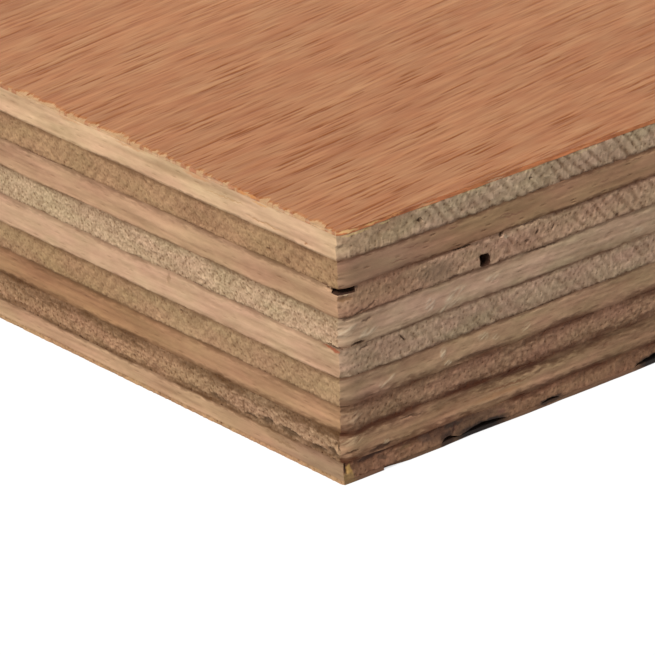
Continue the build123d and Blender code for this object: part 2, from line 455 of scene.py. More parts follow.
# Each pocket's outline, and how far it runs in
POCKETS = (
    (
        (
            (14.7, 0.2), (14.2, 0.42), (13.4, 0.58), (12.4, 0.68), (11.5, 0.62), (10.8, 0.44),
            (10.2, 0.34), (9.8, 0.46), (9.3, 0.62), (8.9, 0.54), (8.5, 0.2),
        ),
        0.95,
    ),
    (
        (
            (19.47, 0.17), (18.93, 0.45), (18.31, 0.53), (17.72, 0.41), (17.26, 0.17),
        ),
        0.83,
    ),
    (
        (
            (31.2, 0.2), (30.8, 0.6), (29.5, 0.9), (28.2, 0.8), (27.2, 0.62), (26.4, 0.48),
            (26.0, 0.2),
        ),
        0.95,
    ),
)


def length(name, description, metres):
    """A length that the user can change."""
    return FloatProperty(
        name=name, description=description, default=metres, subtype="DISTANCE", unit="LENGTH"
    )


def angle(name, description, degrees):
    """An angle that the user can change."""
    return FloatProperty(
        name=name,
        description=description,
        default=math.radians(degrees),
        subtype="ANGLE",
        unit="ROTATION",
    )


def colour(name, description, code):
    """A colour that the user can change, from its sRGB hex code."""
    return FloatVectorProperty(
        name=name,
        description=description,
        default=linear(code),
        subtype="COLOR",
        min=0.0,
        max=1.0,
    )


class SheetSizes(PropertyGroup):
    """Lengths that shape the modelled edges."""

    side_stretch: length(
        "Detail along the side",
        "Length of the long edge that is modelled fibre by fibre, from the corner",
        0.033,
    )
    end_stretch: length(
        "Detail along the end",
        "Length of the short edge that is modelled fibre by fibre, from the corner",
        0.042,
    )
    face_stretch: length(
        "Detail on the face",
        "How far the face veneer's pores are modelled from the corner",
        0.05,
    )
    grid: length("Grid", "Spacing of the points on the modelled edges", 0.00008)
    joint_gap: length(
        "Joint gap", "Width of the gap where two veneers of a cross ply meet", 0.0004
    )
    joint_reach: length(
        "Joint gap reach", "How far the joint gaps run in from the long edges", 0.025
    )
    void_reach: length(
        "Void reach", "How far the void in the sixth core ply runs in from the long edge", 0.04
    )


class VeneerColours(PropertyGroup):
    """Colours of the veneers, on the sheet's sawn sides and on its sawn ends."""

    face_skin: colour("Face", "Sanded skin of the outer veneers", "#AE7347")
    face_pore: colour("Face pores", "Open pores of the sanded skin", "#884812")
    torn_face: colour("Torn face", "Torn wood where the saw chipped the face", "#CCA074")
    glue_side: colour("Glue lines, sides", "Cured resin glue and the wood it soaked", "#4B240A")
    glue_end: colour("Glue lines, ends", "Cured resin glue and the wood it soaked", "#5C3C1E")


for node, codes in SAWN_COLOURS.items():
    for face, code in zip(("side", "end"), codes):
        name = f"{node.replace('_', ' ').capitalize()}, {face}s"
        description = f"Its sawn wood on the sheet's {face}s"
        VeneerColours.__annotations__[f"{node}_{face}"] = colour(name, description, code)


class StudioSettings(PropertyGroup):
    """Where the camera stands and how the sheet is lit."""

    azimuth: angle(
        "Azimuth", "The camera's turn round the sheet's upright, 0 looking along +Y", -40.102
    )
    elevation: angle("Elevation", "The camera's height over the sheet, as an angle", 24.316)
    roll: angle("Roll", "The camera's lean to one side", -1.344)
    distance: length("Distance", "From the camera to the sheet's near corner", 0.3807)
    lens: FloatProperty(
        name="Lens",
        description="Focal length in millimetres on a 36 mm frame",
        default=320.26,
        subtype="DISTANCE_CAMERA",
        unit="CAMERA",
    )
    key: FloatProperty(
        name="Key light",
        description="Strength of the soft lamp at the upper left",
        default=2.95,
        unit="NONE",
    )
    fill: FloatProperty(
        name="Fill light",
        description="Strength of the even light from all round",
        default=0.3,
        unit="NONE",
    )


# From the corner's foot to the middle of the picture, rightwards and upwards in it, in mm
AIM = (-1.101, 10.394)
# Towards the lamp, and how wide it looks in degrees
LAMP_WAY = (-0.61, -0.2, 0.7)
LAMP_WIDTH = 25
# How much light the floor's paper gives back, and how brightly the camera sees it glow
PAPER_GREY = 0.48
PAPER_GLOW = 0.6
# The floor's width in m, and how far it lies under the sheet in mm
FLOOR_WIDTH = 60
FLOOR_DROP = 0.02


# Kinds of node that come often
MATH, VECTOR_MATH = "ShaderNodeMath", "ShaderNodeVectorMath"
JOIN_XYZ, SPLIT_XYZ = "ShaderNodeCombineXYZ", "ShaderNodeSeparateXYZ"


def add(tree, kind, links=None, **settings):
    """Add a node with its settings; links gives its inputs a value, or another node's output."""
    node = tree.nodes.new(kind)
    count = len(tree.nodes)
    node.location = (200 * (count // 6), -240 * (count % 6))
    for name, value in settings.items():
        setattr(node, name, value)
    for name, value in (links or {}).items():
        if isinstance(value, bpy.types.Node):
            value = value.outputs[0]
        if isinstance(value, bpy.types.NodeSocket):
            tree.links.new(value, node.inputs[name])
        else:
            node.inputs[name].default_value = value
    return node


# Patterns in the wood, in mm, that the modelled relief and the materials share


def weigh(tree, start, parts):
    """Add up patterns, each by its own weight, onto a starting value."""
    for pattern, weight in parts:
        start = add(tree, MATH, {0: pattern, 1: weight, 2: start}, operation="MULTIPLY_ADD")
    return start


def remap(tree, value, low, high, at_low=0.0, at_high=1.0, **settings):
    """Turn a run of values into another, and hold its ends beyond it."""
    links = {"Value": value, "From Min": low, "From Max": high}
    links.update({"To Min": at_low, "To Max": at_high})
    return add(tree, "ShaderNodeMapRange", links, **settings)


def times(tree, one, other):
    """One value times another."""
    return add(tree, MATH, {0: one, 1: other}, operation="MULTIPLY")


def lay_flat(tree, place, face, turn=0.0):
    """A place on a face as X along it and Y up it, or across the sheet, turned by an angle."""
    parts = add(tree, SPLIT_XYZ, {0: place}).outputs
    along, up = {"side": "XZ", "end": "YZ", "skin": "XY"}[face]
    plane = add(tree, JOIN_XYZ, {"X": parts[along], "Y": parts[up]})
    if turn:
        plane = add(
            tree, "ShaderNodeVectorRotate", {"Vector": plane, "Angle": turn}, rotation_type="Z_AXIS"
        )
    return plane


def stretch(tree, place, sizes, seed):
    """Squeeze space so that a pattern's unit cell has those sizes."""
    scale = tuple(1 / size for size in sizes) + (0.0,) * (3 - len(sizes))
    return add(
        tree,
        VECTOR_MATH,
        {0: place, 1: scale, 2: (seed, seed * 1.7, seed * 2.3)},
        operation="MULTIPLY_ADD",
    )


def streaks(tree, plane, length, width, seed, detail=2.0):
    """Streaks of that length and width, from 0 to 1."""
    cells = stretch(tree, plane, (length, width), seed)
    return add(tree, "ShaderNodeTexNoise", {"Vector": cells, "Scale": 1.0, "Detail": detail})


def pores(tree, plane, length, spacing, radius, seed):
    """Open pores, 1 in a pore: dashes where the cells are long, dots where they aren't."""
    cells = stretch(tree, plane, (length, spacing), seed)
    cell = add(
        tree, "ShaderNodeTexVoronoi", {"Vector": cells, "Scale": 1.0}, voronoi_dimensions="2D"
    )
    hollow = remap(tree, cell, radius / spacing, 0.4 * radius / spacing)
    chance = add(tree, SPLIT_XYZ, {0: cell.outputs["Color"]})
    return times(tree, hollow, remap(tree, chance, 0.1, 0.8, 0.15, 1.0))


def mosaic(tree, plane, size, seed):
    """Bundles of fibres seen end on, each lighter or darker than the next, from 0 to 1."""
    cells = stretch(tree, plane, (size, size), seed)
    cell = add(
        tree, "ShaderNodeTexVoronoi", {"Vector": cells, "Scale": 1.0}, voronoi_dimensions="2D"
    )
    return add(tree, SPLIT_XYZ, {0: cell.outputs["Color"]})


def wander(tree, place):
    """How far the veneers rise or sink there, in mm, but never at the sheet's two faces."""
    cells = stretch(tree, place, (4.5, 4.5, 3.0), 3.0)
    wave = add(tree, "ShaderNodeTexNoise", {"Vector": cells, "Scale": 1.0, "Detail": 2.5})
    height = add(tree, SPLIT_XYZ, {0: place}).outputs["Z"]
    under = add(tree, MATH, {0: sheet_high.z / MM, 1: height}, operation="SUBTRACT")
    nearer = add(tree, MATH, {0: height, 1: under}, operation="MINIMUM")
    wave = weigh(tree, -WANDER, ((wave, 2 * WANDER),))
    return times(tree, wave, remap(tree, nearer, 0.0, 0.6))


def glue_stain_and_shade(tree, place, node, face):
    """How deeply glue stains the ply there, from 0 to 1, with painted shade in the wide dark bands
    over the lowest plies.
    """
    low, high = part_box(node)
    under = PLIES[PLIES.index(node) - 1]
    plane = lay_flat(tree, place, face)
    edge = remap(tree, streaks(tree, plane, 0.8, 0.25, 7.0, 4.0), 0.34, 0.66, 0.5, 1.5)
    strength = remap(tree, streaks(tree, plane, 3.2, 0.9, 8.0, 3.0), 0.34, 0.6, 0.5, 1.05)
    height = add(tree, SPLIT_XYZ, {0: place}).outputs["Z"]
    height = add(tree, MATH, {0: height, 1: wander(tree, place)}, operation="SUBTRACT")
    deepest = None
    for name, level, part in ((node, high.z / MM, 0), (under, low.z / MM, 1)):
        if name not in GLUE_LINES:
            continue
        line = GLUE_LINES[name][face == "end"]
        width, dark = line[part], line[2]
        gap = add(tree, MATH, {0: height, 1: level}, operation="SUBTRACT")
        gap = add(tree, MATH, {0: gap}, operation="ABSOLUTE")
        soft = times(tree, edge, width * 1.35)
        stain = remap(tree, gap, 0.0, soft, dark, 0.0, interpolation_type="SMOOTHSTEP")
        if deepest is None:
            deepest = stain
        else:
            deepest = add(tree, MATH, {0: deepest, 1: stain}, operation="MAXIMUM")
    return times(tree, deepest, strength)


def shift_tone(tree, place, node, face, wood):
    """The wood's colour after the ply's own lighter and darker stretches."""
    along = add(tree, SPLIT_XYZ, {0: lay_flat(tree, place, face)})
    corner = (sheet_low.x if face == "side" else sheet_low.y) / MM
    for *at, middle, half_length, factors in SHIFTS:
        if at != [node, face]:
            continue
        gap = add(tree, MATH, {0: along, 1: corner + middle}, operation="SUBTRACT")
        gap = add(tree, MATH, {0: gap}, operation="ABSOLUTE")
        mask = remap(tree, gap, 1.3 * half_length, 0.4 * half_length)
        factor = cover(tree, mask, (1.0, 1.0, 1.0), factors)
        wood = add(tree, VECTOR_MATH, {0: wood, 1: factor}, operation="MULTIPLY")
        wood = wood.outputs[0]
    return wood


def mark_masks(tree, place, node, face):
    """Each of the ply's marks on that face, with a mask that is 1 in its middle."""
    own = [Mark(*row) for row in MARKS.get((node, face), ())]
    if not own:
        return []
    ragged = add(
        tree, "ShaderNodeTexNoise", {"Vector": place, "Scale": 2.6, "Detail": 3.0}
    ).outputs["Color"]
    ragged = add(
        tree,
        VECTOR_MATH,
        {0: ragged, 1: (0.6, 0.6, 0.36), 2: (-0.3, -0.3, -0.18)},
        operation="MULTIPLY_ADD",
    )
    flecks = streaks(tree, lay_flat(tree, place, face, -0.5), 1.1, 0.16, 23.0, 3.0)
    flecks = remap(tree, flecks, 0.40, 0.64)
    place = add(tree, VECTOR_MATH, {0: place, 1: ragged}, operation="ADD")
    found = []
    for mark in own:
        if face == "end":
            centre = (sheet_low.x / MM, sheet_low.y / MM + mark.along, mark.up)
            lean, axis = -math.radians(mark.lean), "X_AXIS"
            sizes = (MARK_REACH, mark.half_length, mark.half_height)
        else:
            centre = (sheet_low.x / MM + mark.along, sheet_low.y / MM, mark.up)
            lean, axis = math.radians(mark.lean), "Y_AXIS"
            sizes = (mark.half_length, MARK_REACH, mark.half_height)
        beside = add(tree, VECTOR_MATH, {0: place, 1: centre}, operation="SUBTRACT")
        if mark.lean:
            turn = {"Vector": beside, "Angle": lean}
            beside = add(tree, "ShaderNodeVectorRotate", turn, rotation_type=axis)
        beside = add(tree, VECTOR_MATH, {0: beside, 1: sizes}, operation="DIVIDE")
        gap = add(tree, VECTOR_MATH, {0: beside}, operation="LENGTH").outputs["Value"]
        mask = remap(tree, gap, 1.15, 0.5, interpolation_type="SMOOTHSTEP")
        if mark.depth < 0:
            mask = times(tree, mask, flecks)
        found.append((mark, mask))
    return found


def lathe_checks(tree, place, face, start, seed):
    """Slanting ribs of torn and whole fibres that peeling opened, from 0 to 1, full from
    where they start, in mm from the corner."""
    slanted = lay_flat(tree, place, face, -math.radians(CHECKS_LEAN))
    cells = stretch(tree, slanted, (1.0, 3.0), seed)
    ribs = add(
        tree,
        "ShaderNodeTexWave",
        {"Vector": cells, "Scale": 0.42, "Distortion": 4.6, "Detail": 2.0, "Detail Scale": 1.2},
        wave_profile="SIN",
    ).outputs[1]
    ribs = remap(tree, ribs, 0.0, 0.7)
    plane = lay_flat(tree, place, face)
    along = add(tree, SPLIT_XYZ, {0: plane})
    edge = (sheet_low.x if face == "side" else sheet_low.y) / MM + start
    full = remap(tree, along, edge - 2.0, edge + 2.0, 0.3, 1.0)
    full = times(tree, full, remap(tree, streaks(tree, plane, 2.2, 1.2, seed), 0.38, 0.6, 0.2, 1.2))
    return weigh(tree, 0.5, ((times(tree, weigh(tree, -0.6, ((ribs, 1.0),)), full), 1.0),))


def sawn_tone(tree, place, node, face):
    """How light the sawn wood is there: 0 deep in a pit or a check, 1 on a raised fibre."""
    plane = lay_flat(tree, place, face)
    seed = 10.0 * PLIES.index(node) + 3.0 * (face == "end")
    if (GRAIN[node] == ALONG) == (face == "end"):
        weights = END_GRAIN | OWN_GRAIN.get((node, face), {})
        fibre = 0.2 if face == "end" else 0.28
        patterns = {
            "fuzz": streaks(tree, plane, fibre, fibre, seed + 1.0),
            "bundles": mosaic(tree, plane, 0.3, seed + 2.0),
            "checks": lathe_checks(
                tree, place, face, CHECKS_START.get((node, face), 0.0), seed + 3.0
            ),
            "blotches": streaks(tree, plane, 4.5, 1.5, seed + 4.0),
            "pits": pores(tree, plane, 0.4, 0.4, 0.1, seed),
        }
    else:
        weights = LONG_GRAIN | OWN_GRAIN.get((node, face), {})
        patterns = {
            "broad": streaks(tree, plane, 16.0, 0.6, seed),
            "fine": streaks(tree, plane, 6.0, 0.26, seed + 1.0),
            "fuzz": streaks(tree, plane, 0.9, 0.33, seed + 2.0, 3.0),
            "blotches": streaks(tree, plane, 6.0, 1.5, seed + 4.0),
            "pits": pores(tree, plane, 2.6, 0.42, 0.06, seed + 3.0),
        }
    # The patterns but for pits swing about a half
    start = 0.5 - 0.5 * sum(weight for name, weight in weights.items() if name != "pits")
    return weigh(tree, start, [(patterns[name], weight) for name, weight in weights.items()])


def arris_chips(tree, place):
    """Where the saw has torn the face veneer off along the sheet's end, 1 in a chip."""
    parts = add(tree, SPLIT_XYZ, {0: place}).outputs
    across = add(tree, JOIN_XYZ, {"Y": parts["Y"]})
    reach = weigh(
        tree,
        -1.9,
        (
            (streaks(tree, across, 9.0, 0.55, 41.0, 5.0), 2.2),
            (streaks(tree, across, 9.0, 4.0, 43.0), 1.9),
        ),
    )
    inward = add(tree, MATH, {0: parts["X"], 1: sheet_low.x / MM}, operation="SUBTRACT")
    left = add(tree, MATH, {0: reach, 1: inward}, operation="SUBTRACT")
    return remap(tree, left, -0.06, 0.06)


def skin_grain(tree, place, node):
    """The grain of an outer veneer's sanded skin, a few degrees off the sheet's length."""
    plane = lay_flat(tree, place, "skin", -math.radians(GRAIN_LEAN))
    slow = streaks(tree, plane, 60.0, 25.0, 5.0, 1.0)
    aside = add(tree, JOIN_XYZ, {"Y": weigh(tree, -1.4, ((slow, 2.8),))})
    plane = add(tree, VECTOR_MATH, {0: plane, 1: aside}, operation="ADD")
    frayed = streaks(tree, plane, 1.4, 0.4, 9.0, 3.0)
    aside = add(tree, JOIN_XYZ, {"Y": weigh(tree, -0.07, ((frayed, 0.14),))})
    frayed = remap(tree, frayed, 0.34, 0.56, 0.45, 1.0)
    plane = add(tree, VECTOR_MATH, {0: plane, 1: aside}, operation="ADD")
    seed = 10.0 * PLIES.index(node)
    crowded = remap(tree, streaks(tree, plane, 14.0, 3.0, seed + 6.0), 0.36, 0.6, 0.5, 1.0)
    deep = add(
        tree,
        MATH,
        {
            0: times(tree, pores(tree, plane, 8.0, 0.5, 0.14, seed), crowded),
            1: pores(tree, plane, 26.0, 0.85, 0.15, seed + 7.0),
        },
        operation="MAXIMUM",
    )
    # Sanding left the pores most open at the broken corner
    off_corner = add(
        tree, VECTOR_MATH, {0: place, 1: tuple(sheet_low / MM)}, operation="DISTANCE"
    )
    open_most = remap(tree, off_corner.outputs["Value"], 10.0, 60.0, 1.6, 0.55)
    return {
        "deep pores": times(tree, times(tree, deep, frayed), open_most),
        "fine pores": times(tree, pores(tree, plane, 5.0, 0.36, 0.10, seed + 1.0), open_most),
        "hair": streaks(tree, plane, 3.4, 0.22, seed + 2.0),
        "lines": streaks(tree, plane, 13.0, 0.5, seed + 3.0),
        "clouds": streaks(tree, plane, 3.0, 1.6, seed + 8.0, 3.0),
        "bands": streaks(tree, plane, 30.0, 2.6, seed + 4.0),
        "figure": streaks(tree, plane, 900.0, 28.0, seed + 5.0, 3.0),
    }


# Select by place, then shape with Blender's own tools


def pick(piece, kind, chosen):
    """Select those of the piece's verts, edges or faces that chosen says yes to."""
    bpy.ops.mesh.select_mode(type={"verts": "VERT", "edges": "EDGE", "faces": "FACE"}[kind])
    bpy.ops.mesh.select_all(action="DESELECT")
    form = bmesh.from_edit_mesh(piece.data)
    parts = [part for part in getattr(form, kind) if chosen(part)]
    if not parts:
        raise RuntimeError(f"{piece.name}: none of its {kind} is there to select")
    for part in parts:
        part.select_set(True)
    bmesh.update_edit_mesh(piece.data)


def divide(piece, chosen, count):
    """Split the chosen edges evenly into about count parts, at most a hundred at a time."""
    for parts in [count] if count <= 100 else [math.ceil(count / 80), 80]:
        pick(piece, "edges", chosen)
        bpy.ops.mesh.subdivide(number_cuts=parts - 1, ngon=True)


def make_active(piece):
    """Select the piece alone."""
    bpy.ops.object.select_all(action="DESELECT")
    piece.select_set(True)
    bpy.context.view_layer.objects.active = piece


def cut_away(piece, cutter, inside=None):
    """Cut the tool's shape out of the piece, and throw the tool away. The cut faces take the
    material for the inside, if there is one."""
    if inside:
        cutter.data.materials.append(inside)
    make_active(piece)
    bpy.ops.object.modifier_add(type="BOOLEAN")
    modifier = piece.modifiers[-1]
    modifier.object = cutter
    modifier.operation = "DIFFERENCE"
    modifier.solver = "EXACT"
    modifier.material_mode = "TRANSFER" if inside else "INDEX"
    bpy.ops.object.modifier_apply(modifier=modifier.name)
    bpy.data.meshes.remove(cutter.data)


def add_block(node):
    """Add a ply's block at its size and place."""
    low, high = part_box(node)
    bpy.ops.object.select_all(action="DESELECT")
    bpy.ops.mesh.primitive_cube_add(size=1, location=(low + high) / 2, scale=high - low)
    piece = bpy.context.object
    piece.name = f"{node}_wood"
    piece.data.name = piece.name
    bpy.ops.object.transform_apply(location=True, rotation=True, scale=True)
    return piece


def add_prism(outline, start, end, upright):
    """Add a prism from start to end, in mm from the sheet's low corner. Its outline goes round
    anticlockwise: seen from above when it stands upright, seen from the side when it lies."""
    bpy.ops.object.select_all(action="DESELECT")
    middle = Vector((0, 0, (start + end) / 2)) if upright else Vector((0, (start + end) / 2, 0))
    bpy.ops.mesh.primitive_cylinder_add(
        vertices=len(outline),
        radius=MM,
        depth=(end - start) * MM,
        location=sheet_low + middle * MM,
        rotation=(0, 0, 0) if upright else (math.pi / 2, 0, 0),
    )
    prism = bpy.context.object
    bpy.ops.object.transform_apply(location=True, rotation=True, scale=True)
    across = 1 if upright else 2
    corners = {}
    for vert in prism.data.vertices:
        offset = vert.co - sheet_low - middle * MM
        turn = round(math.atan2(offset[across], offset[0]), 3) % round(2 * math.pi, 3)
        corners.setdefault(turn, []).append(vert.index)
    bpy.ops.object.mode_set(mode="EDIT")
    for (_, pair), target in zip(sorted(corners.items()), outline):
        pick(prism, "verts", lambda vert: vert.index in pair)
        form = bmesh.from_edit_mesh(prism.data)
        form.verts.ensure_lookup_table()
        now = form.verts[pair[0]].co
        move = [0.0, 0.0, 0.0]
        move[0] = sheet_low.x + target[0] * MM - now.x
        move[across] = sheet_low[across] + target[1] * MM - now[across]
        bpy.ops.transform.translate(value=move)
    bpy.ops.mesh.select_all(action="SELECT")
    bpy.ops.mesh.normals_make_consistent(inside=False)
    bpy.ops.object.mode_set(mode="OBJECT")
    return prism


def open_joint(piece, node, sizes):
    """Cut the gap where two veneers of a cross ply meet, in from both long edges."""
    low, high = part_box(node)
    place = sheet_low.x + (sheet_high.x - sheet_low.x) * JOINTS[node]
    for edge in (sheet_low.y, sheet_high.y):
        bpy.ops.object.select_all(action="DESELECT")
        bpy.ops.mesh.primitive_cube_add(
            size=1,
            location=(place, edge, (low.z + high.z) / 2),
            scale=(sizes.joint_gap, sizes.joint_reach * 2, (high.z - low.z) * 2),
        )
        cut_away(piece, bpy.context.object)


def divide_edges(piece, node, reach, grid):
    """Lay a fine grid over the ply's two sawn edges beside the broken corner, and over the face
    veneer's skin there."""
    low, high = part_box(node)
    near = 0.1 * grid
    side_end, end_end = low.x + reach[0], low.y + reach[1]
    strip = low.x + FINE_STRIP * MM
    on_skin = node == "face_veneer"
    cuts = [((side_end, 0, 0), (1, 0, 0)), ((0, end_end, 0), (0, 1, 0))]
    if on_skin:
        cuts.append(((strip, 0, 0), (1, 0, 0)))
    bpy.ops.object.mode_set(mode="EDIT")
    for point, normal in cuts:
        bpy.ops.mesh.select_all(action="SELECT")
        bpy.ops.mesh.bisect(plane_co=point, plane_no=normal)

    def on_side(vert):
        return abs(vert.co.y - low.y) < near and vert.co.x < side_end + near

    def on_end(vert):
        return abs(vert.co.x - low.x) < near and vert.co.y < end_end + near

    def on_top(vert):
        return abs(vert.co.z - high.z) < near and vert.co.x < side_end + near

    def lies(edge, faces, axis, start, end):
        """Whether the edge runs that way on one of the faces, between start and end."""
        span = edge.verts[0].co - edge.verts[1].co
        return (
            any(all(map(on_face, edge.verts)) for on_face in faces)
            and all(abs(span[i]) < near for i in range(3) if i != axis)
            and all(start - near < vert.co[axis] < end + near for vert in edge.verts)
        )

    everywhere = (-math.inf, math.inf)
    if on_skin:
        steps = [
            ((on_top, on_side), 0, (low.x, strip), STRIP_STEPS),
            ((on_top, on_side), 0, (strip, side_end), FIBRE_STEPS),
            ((on_top, on_end), 1, (low.y, end_end), CROSS_STEPS),
            ((on_side,), 0, (strip, side_end), SIDE_STEPS),
        ]
    else:
        steps = [
            ((on_side,), 0, everywhere, round(reach[0] / grid)),
            ((on_end,), 1, everywhere, round(reach[1] / grid)),
        ]
    steps.append(((on_side, on_end), 2, everywhere, max(3, round((high.z - low.z) / grid))))
    for faces, axis, between, count in steps:
        divide(piece, lambda edge: lies(edge, faces, axis, *between), count)
    bpy.ops.object.mode_set(mode="OBJECT")


def face_depth(tree, place, node, face):
    """How far the sawn face lies back there, in mm."""
    tone = sawn_tone(tree, place, node, face)
    stain = glue_stain_and_shade(tree, place, node, face)
    depth = weigh(tree, DARK_BACK, ((tone, -LIGHT_OUT), (stain, GLUE_BACK)))
    for mark, mask in mark_masks(tree, place, node, face):
        if mark.depth:
            depth = weigh(tree, depth, ((mask, mark.depth),))
    return add(tree, MATH, {0: depth, 1: 0.0}, operation="MAXIMUM")


def roughen(piece, node, reach):
    """Press the fine grid back where pores, fibres, checks and glue lines lie, by one modifier."""
    tree = bpy.data.node_groups.new(f"{piece.name}_relief", "GeometryNodeTree")
    for way in ("INPUT", "OUTPUT"):
        tree.interface.new_socket("Geometry", in_out=way, socket_type="NodeSocketGeometry")
    start = add(tree, "NodeGroupInput")
    finish = add(tree, "NodeGroupOutput")
    position = add(tree, "GeometryNodeInputPosition")
    place = add(tree, VECTOR_MATH, {0: position, "Scale": 1 / MM}, operation="SCALE")
    inward = add(tree, VECTOR_MATH, {0: place, 1: tuple(sheet_low / MM)}, operation="SUBTRACT")
    inward = add(tree, SPLIT_XYZ, {0: inward}).outputs
    near_x, near_y = (
        remap(tree, inward[axis], end / MM - FADE_START, end / MM - FADE_END, 1.0, 0.0)
        for axis, end in zip("XY", reach)
    )
    near = times(tree, near_x, near_y)
    worn_more = streaks(tree, lay_flat(tree, place, "side"), 9.0, 0.5, 11.0, 3.0)
    worn_more = remap(tree, worn_more, 0.3, 0.7, 0.6, 1.2)
    moves = {}
    ways = (("side", "Y", "X"), ("end", "X", "Y"))
    for (face, axis, other), worn in zip(ways, CORNER_WEAR[node]):
        depth = face_depth(tree, place, node, face)
        round_off = remap(tree, inward[other], 0.0, WEAR_REACH[face], 1.0, 0.0)
        round_off = times(tree, times(tree, round_off, round_off), worn_more)
        depth = weigh(tree, depth, ((round_off, worn),))
        # Full on the sawn face, nothing 1 mm inside it
        depth = times(tree, depth, remap(tree, inward[axis], 0.0, 1.0, 1.0, 0.0))
        moves[axis] = times(tree, times(tree, depth, near), MM)
    lift = wander(tree, place)
    if node == "face_veneer":
        grain = skin_grain(tree, place, node)
        chips = arris_chips(tree, place)
        sunk = weigh(tree, 0.0, ((grain["deep pores"], -PORE_DEPTH), (chips, -CHIP_DEPTH)))
        on_top = remap(tree, inward["Z"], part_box(node)[0].z / MM, sheet_high.z / MM)
        lift = weigh(tree, lift, ((times(tree, sunk, on_top), 1.0),))
    moves["Z"] = times(tree, times(tree, lift, near), MM)
    offset = add(tree, JOIN_XYZ, moves)
    moved = add(tree, "GeometryNodeSetPosition", {"Geometry": start.outputs[0], "Offset": offset})
    tree.links.new(moved.outputs[0], finish.inputs[0])
    make_active(piece)
    bpy.ops.object.modifier_add(type="NODES")
    modifier = piece.modifiers[-1]
    modifier.node_group = tree
    bpy.ops.object.modifier_apply(modifier=modifier.name)
    bpy.data.node_groups.remove(tree)


def paint(piece, materials, skin_side):
    """Give the piece its materials: its sides' first, then its ends', then its skin's, which
    faces up or down."""
    make_active(piece)
    for material in materials:
        piece.data.materials.append(material)
    bpy.ops.object.mode_set(mode="EDIT")
    pick(piece, "faces", lambda face: abs(face.normal.x) > 0.9)
    piece.active_material_index = 1
    bpy.ops.object.material_slot_assign()
    if skin_side:
        pick(piece, "faces", lambda face: face.normal.z * skin_side > 0.9)
        piece.active_material_index = 2
        bpy.ops.object.material_slot_assign()
    bpy.ops.object.mode_set(mode="OBJECT")


def hand_over(piece, node):
    """Smooth the piece and put it in its solid's place."""
    make_active(piece)
    bpy.ops.object.shade_smooth_by_angle(angle=math.radians(55))
    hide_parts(node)
    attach(piece, "root")


def start_material(name):
    """A new material, its node tree, and the place in mm that its patterns read."""
    material = bpy.data.materials.new(name)
    material.use_nodes = True
    tree = material.node_tree
    tree.nodes.clear()
    coordinates = add(tree, "ShaderNodeTexCoord")
    place = add(
        tree,
        VECTOR_MATH,
        {0: coordinates.outputs["Object"], "Scale": 1 / MM},
        operation="SCALE",
    )
    return material, tree, place


def finish_material(tree, colour, height, roughness):
    """Raw wood's dull shader: light scatters, with a faint broad sheen."""
    bump = add(tree, "ShaderNodeBump", {"Strength": 0.8, "Distance": MM, "Height": height})
    shader = add(
        tree,
        "ShaderNodeBsdfPrincipled",
        {
            "Base Color": colour,
            "Roughness": roughness,
            "IOR": 1.5,
            "Specular IOR Level": 0.3,
            "Normal": bump,
        },
    )
    add(tree, "ShaderNodeOutputMaterial", {"Surface": shader})


def cover(tree, mask, under, over):
    """Lay one colour over another where the mask is 1."""
    links = {0: mask, 6: under, 7: over}
    for socket in (6, 7):
        if not isinstance(links[socket], bpy.types.NodeSocket):
            links[socket] = (*links[socket], 1)
    return add(tree, "ShaderNodeMix", links, data_type="RGBA").outputs[2]


def shade(tree, colour, tone, dark, light):
    """The colour from its darker to its lighter shade, as tone goes from 0 to 1."""
    shades = [[min(1, part * share) for part, share in zip(colour, end)] for end in (dark, light)]
    return cover(tree, tone, *shades)


def painted_gap_shade(tree, place):
    """How deep inside a gap or a break the wood lies, for the painted shade there: 0 at the sheet's
    edges, 1 well inside.
    """
    off_middle = add(tree, VECTOR_MATH, {0: place}, operation="ABSOLUTE")
    left = add(
        tree,
        VECTOR_MATH,
        {0: (HALF_LENGTH, HALF_WIDTH, 0.0), 1: off_middle},
        operation="SUBTRACT",
    )
    left = add(tree, SPLIT_XYZ, {0: left}).outputs
    nearer = add(tree, MATH, {0: left["X"], 1: left["Y"]}, operation="MINIMUM")
    return remap(tree, nearer, 0.5, 1.1, 0.0, 0.95)


def sawn_material(node, colours, face):
    """Peeled hardwood veneer, glued up and then sawn with the sheet: dull and bare. Along the
    fibres the saw leaves soft streaks; across them it leaves dark pores, pale bundles of fibre
    and the slanting checks that peeling opened. Glue darkens it at its top and bottom."""
    across = (GRAIN[node] == ALONG) == (face == "end")
    kind = "end_grain" if across else "long_grain"
    material, tree, place = start_material(f"sawn_hardwood_veneer_{kind}_{node}")
    tone = sawn_tone(tree, place, node, face)
    wood = shade(tree, getattr(colours, f"{node}_{face}"), tone, *SAWN_SHADES)
    # Patches lean a little to olive or to pink
    tint = remap(tree, streaks(tree, lay_flat(tree, place, face), 4.0, 1.4, 71.0), 0.32, 0.68)
    lean = 0.035 if face == "side" else 0.025
    tint = cover(tree, tint, (1 + lean, 1 - lean, 1.0), (1 - lean, 1 + lean, 0.98))
    wood = add(tree, VECTOR_MATH, {0: wood, 1: tint}, operation="MULTIPLY").outputs[0]
    wood = shift_tone(tree, place, node, face, wood)
    # Glue stain, and painted shade in the wide dark bands over the lowest plies
    wood = cover(tree, glue_stain_and_shade(tree, place, node, face), wood, getattr(colours, f"glue_{face}"))
    if (node, face) == ("face_veneer", "end"):
        # Torn as pale as the skin over it
        wood = cover(tree, times(tree, arris_chips(tree, place), 0.9), wood, colours.torn_face)
    for mark, mask in mark_masks(tree, place, node, face):
        wood = cover(tree, times(tree, mask, mark.share), wood, linear(mark.colour))
    # Painted shade: wood deep inside the joint gaps and breaks is painted near black
    wood = cover(tree, painted_gap_shade(tree, place), wood, linear("#1A0F08"))
    finish_material(tree, wood, times(tree, tone, 0.03), 0.8)
    return material


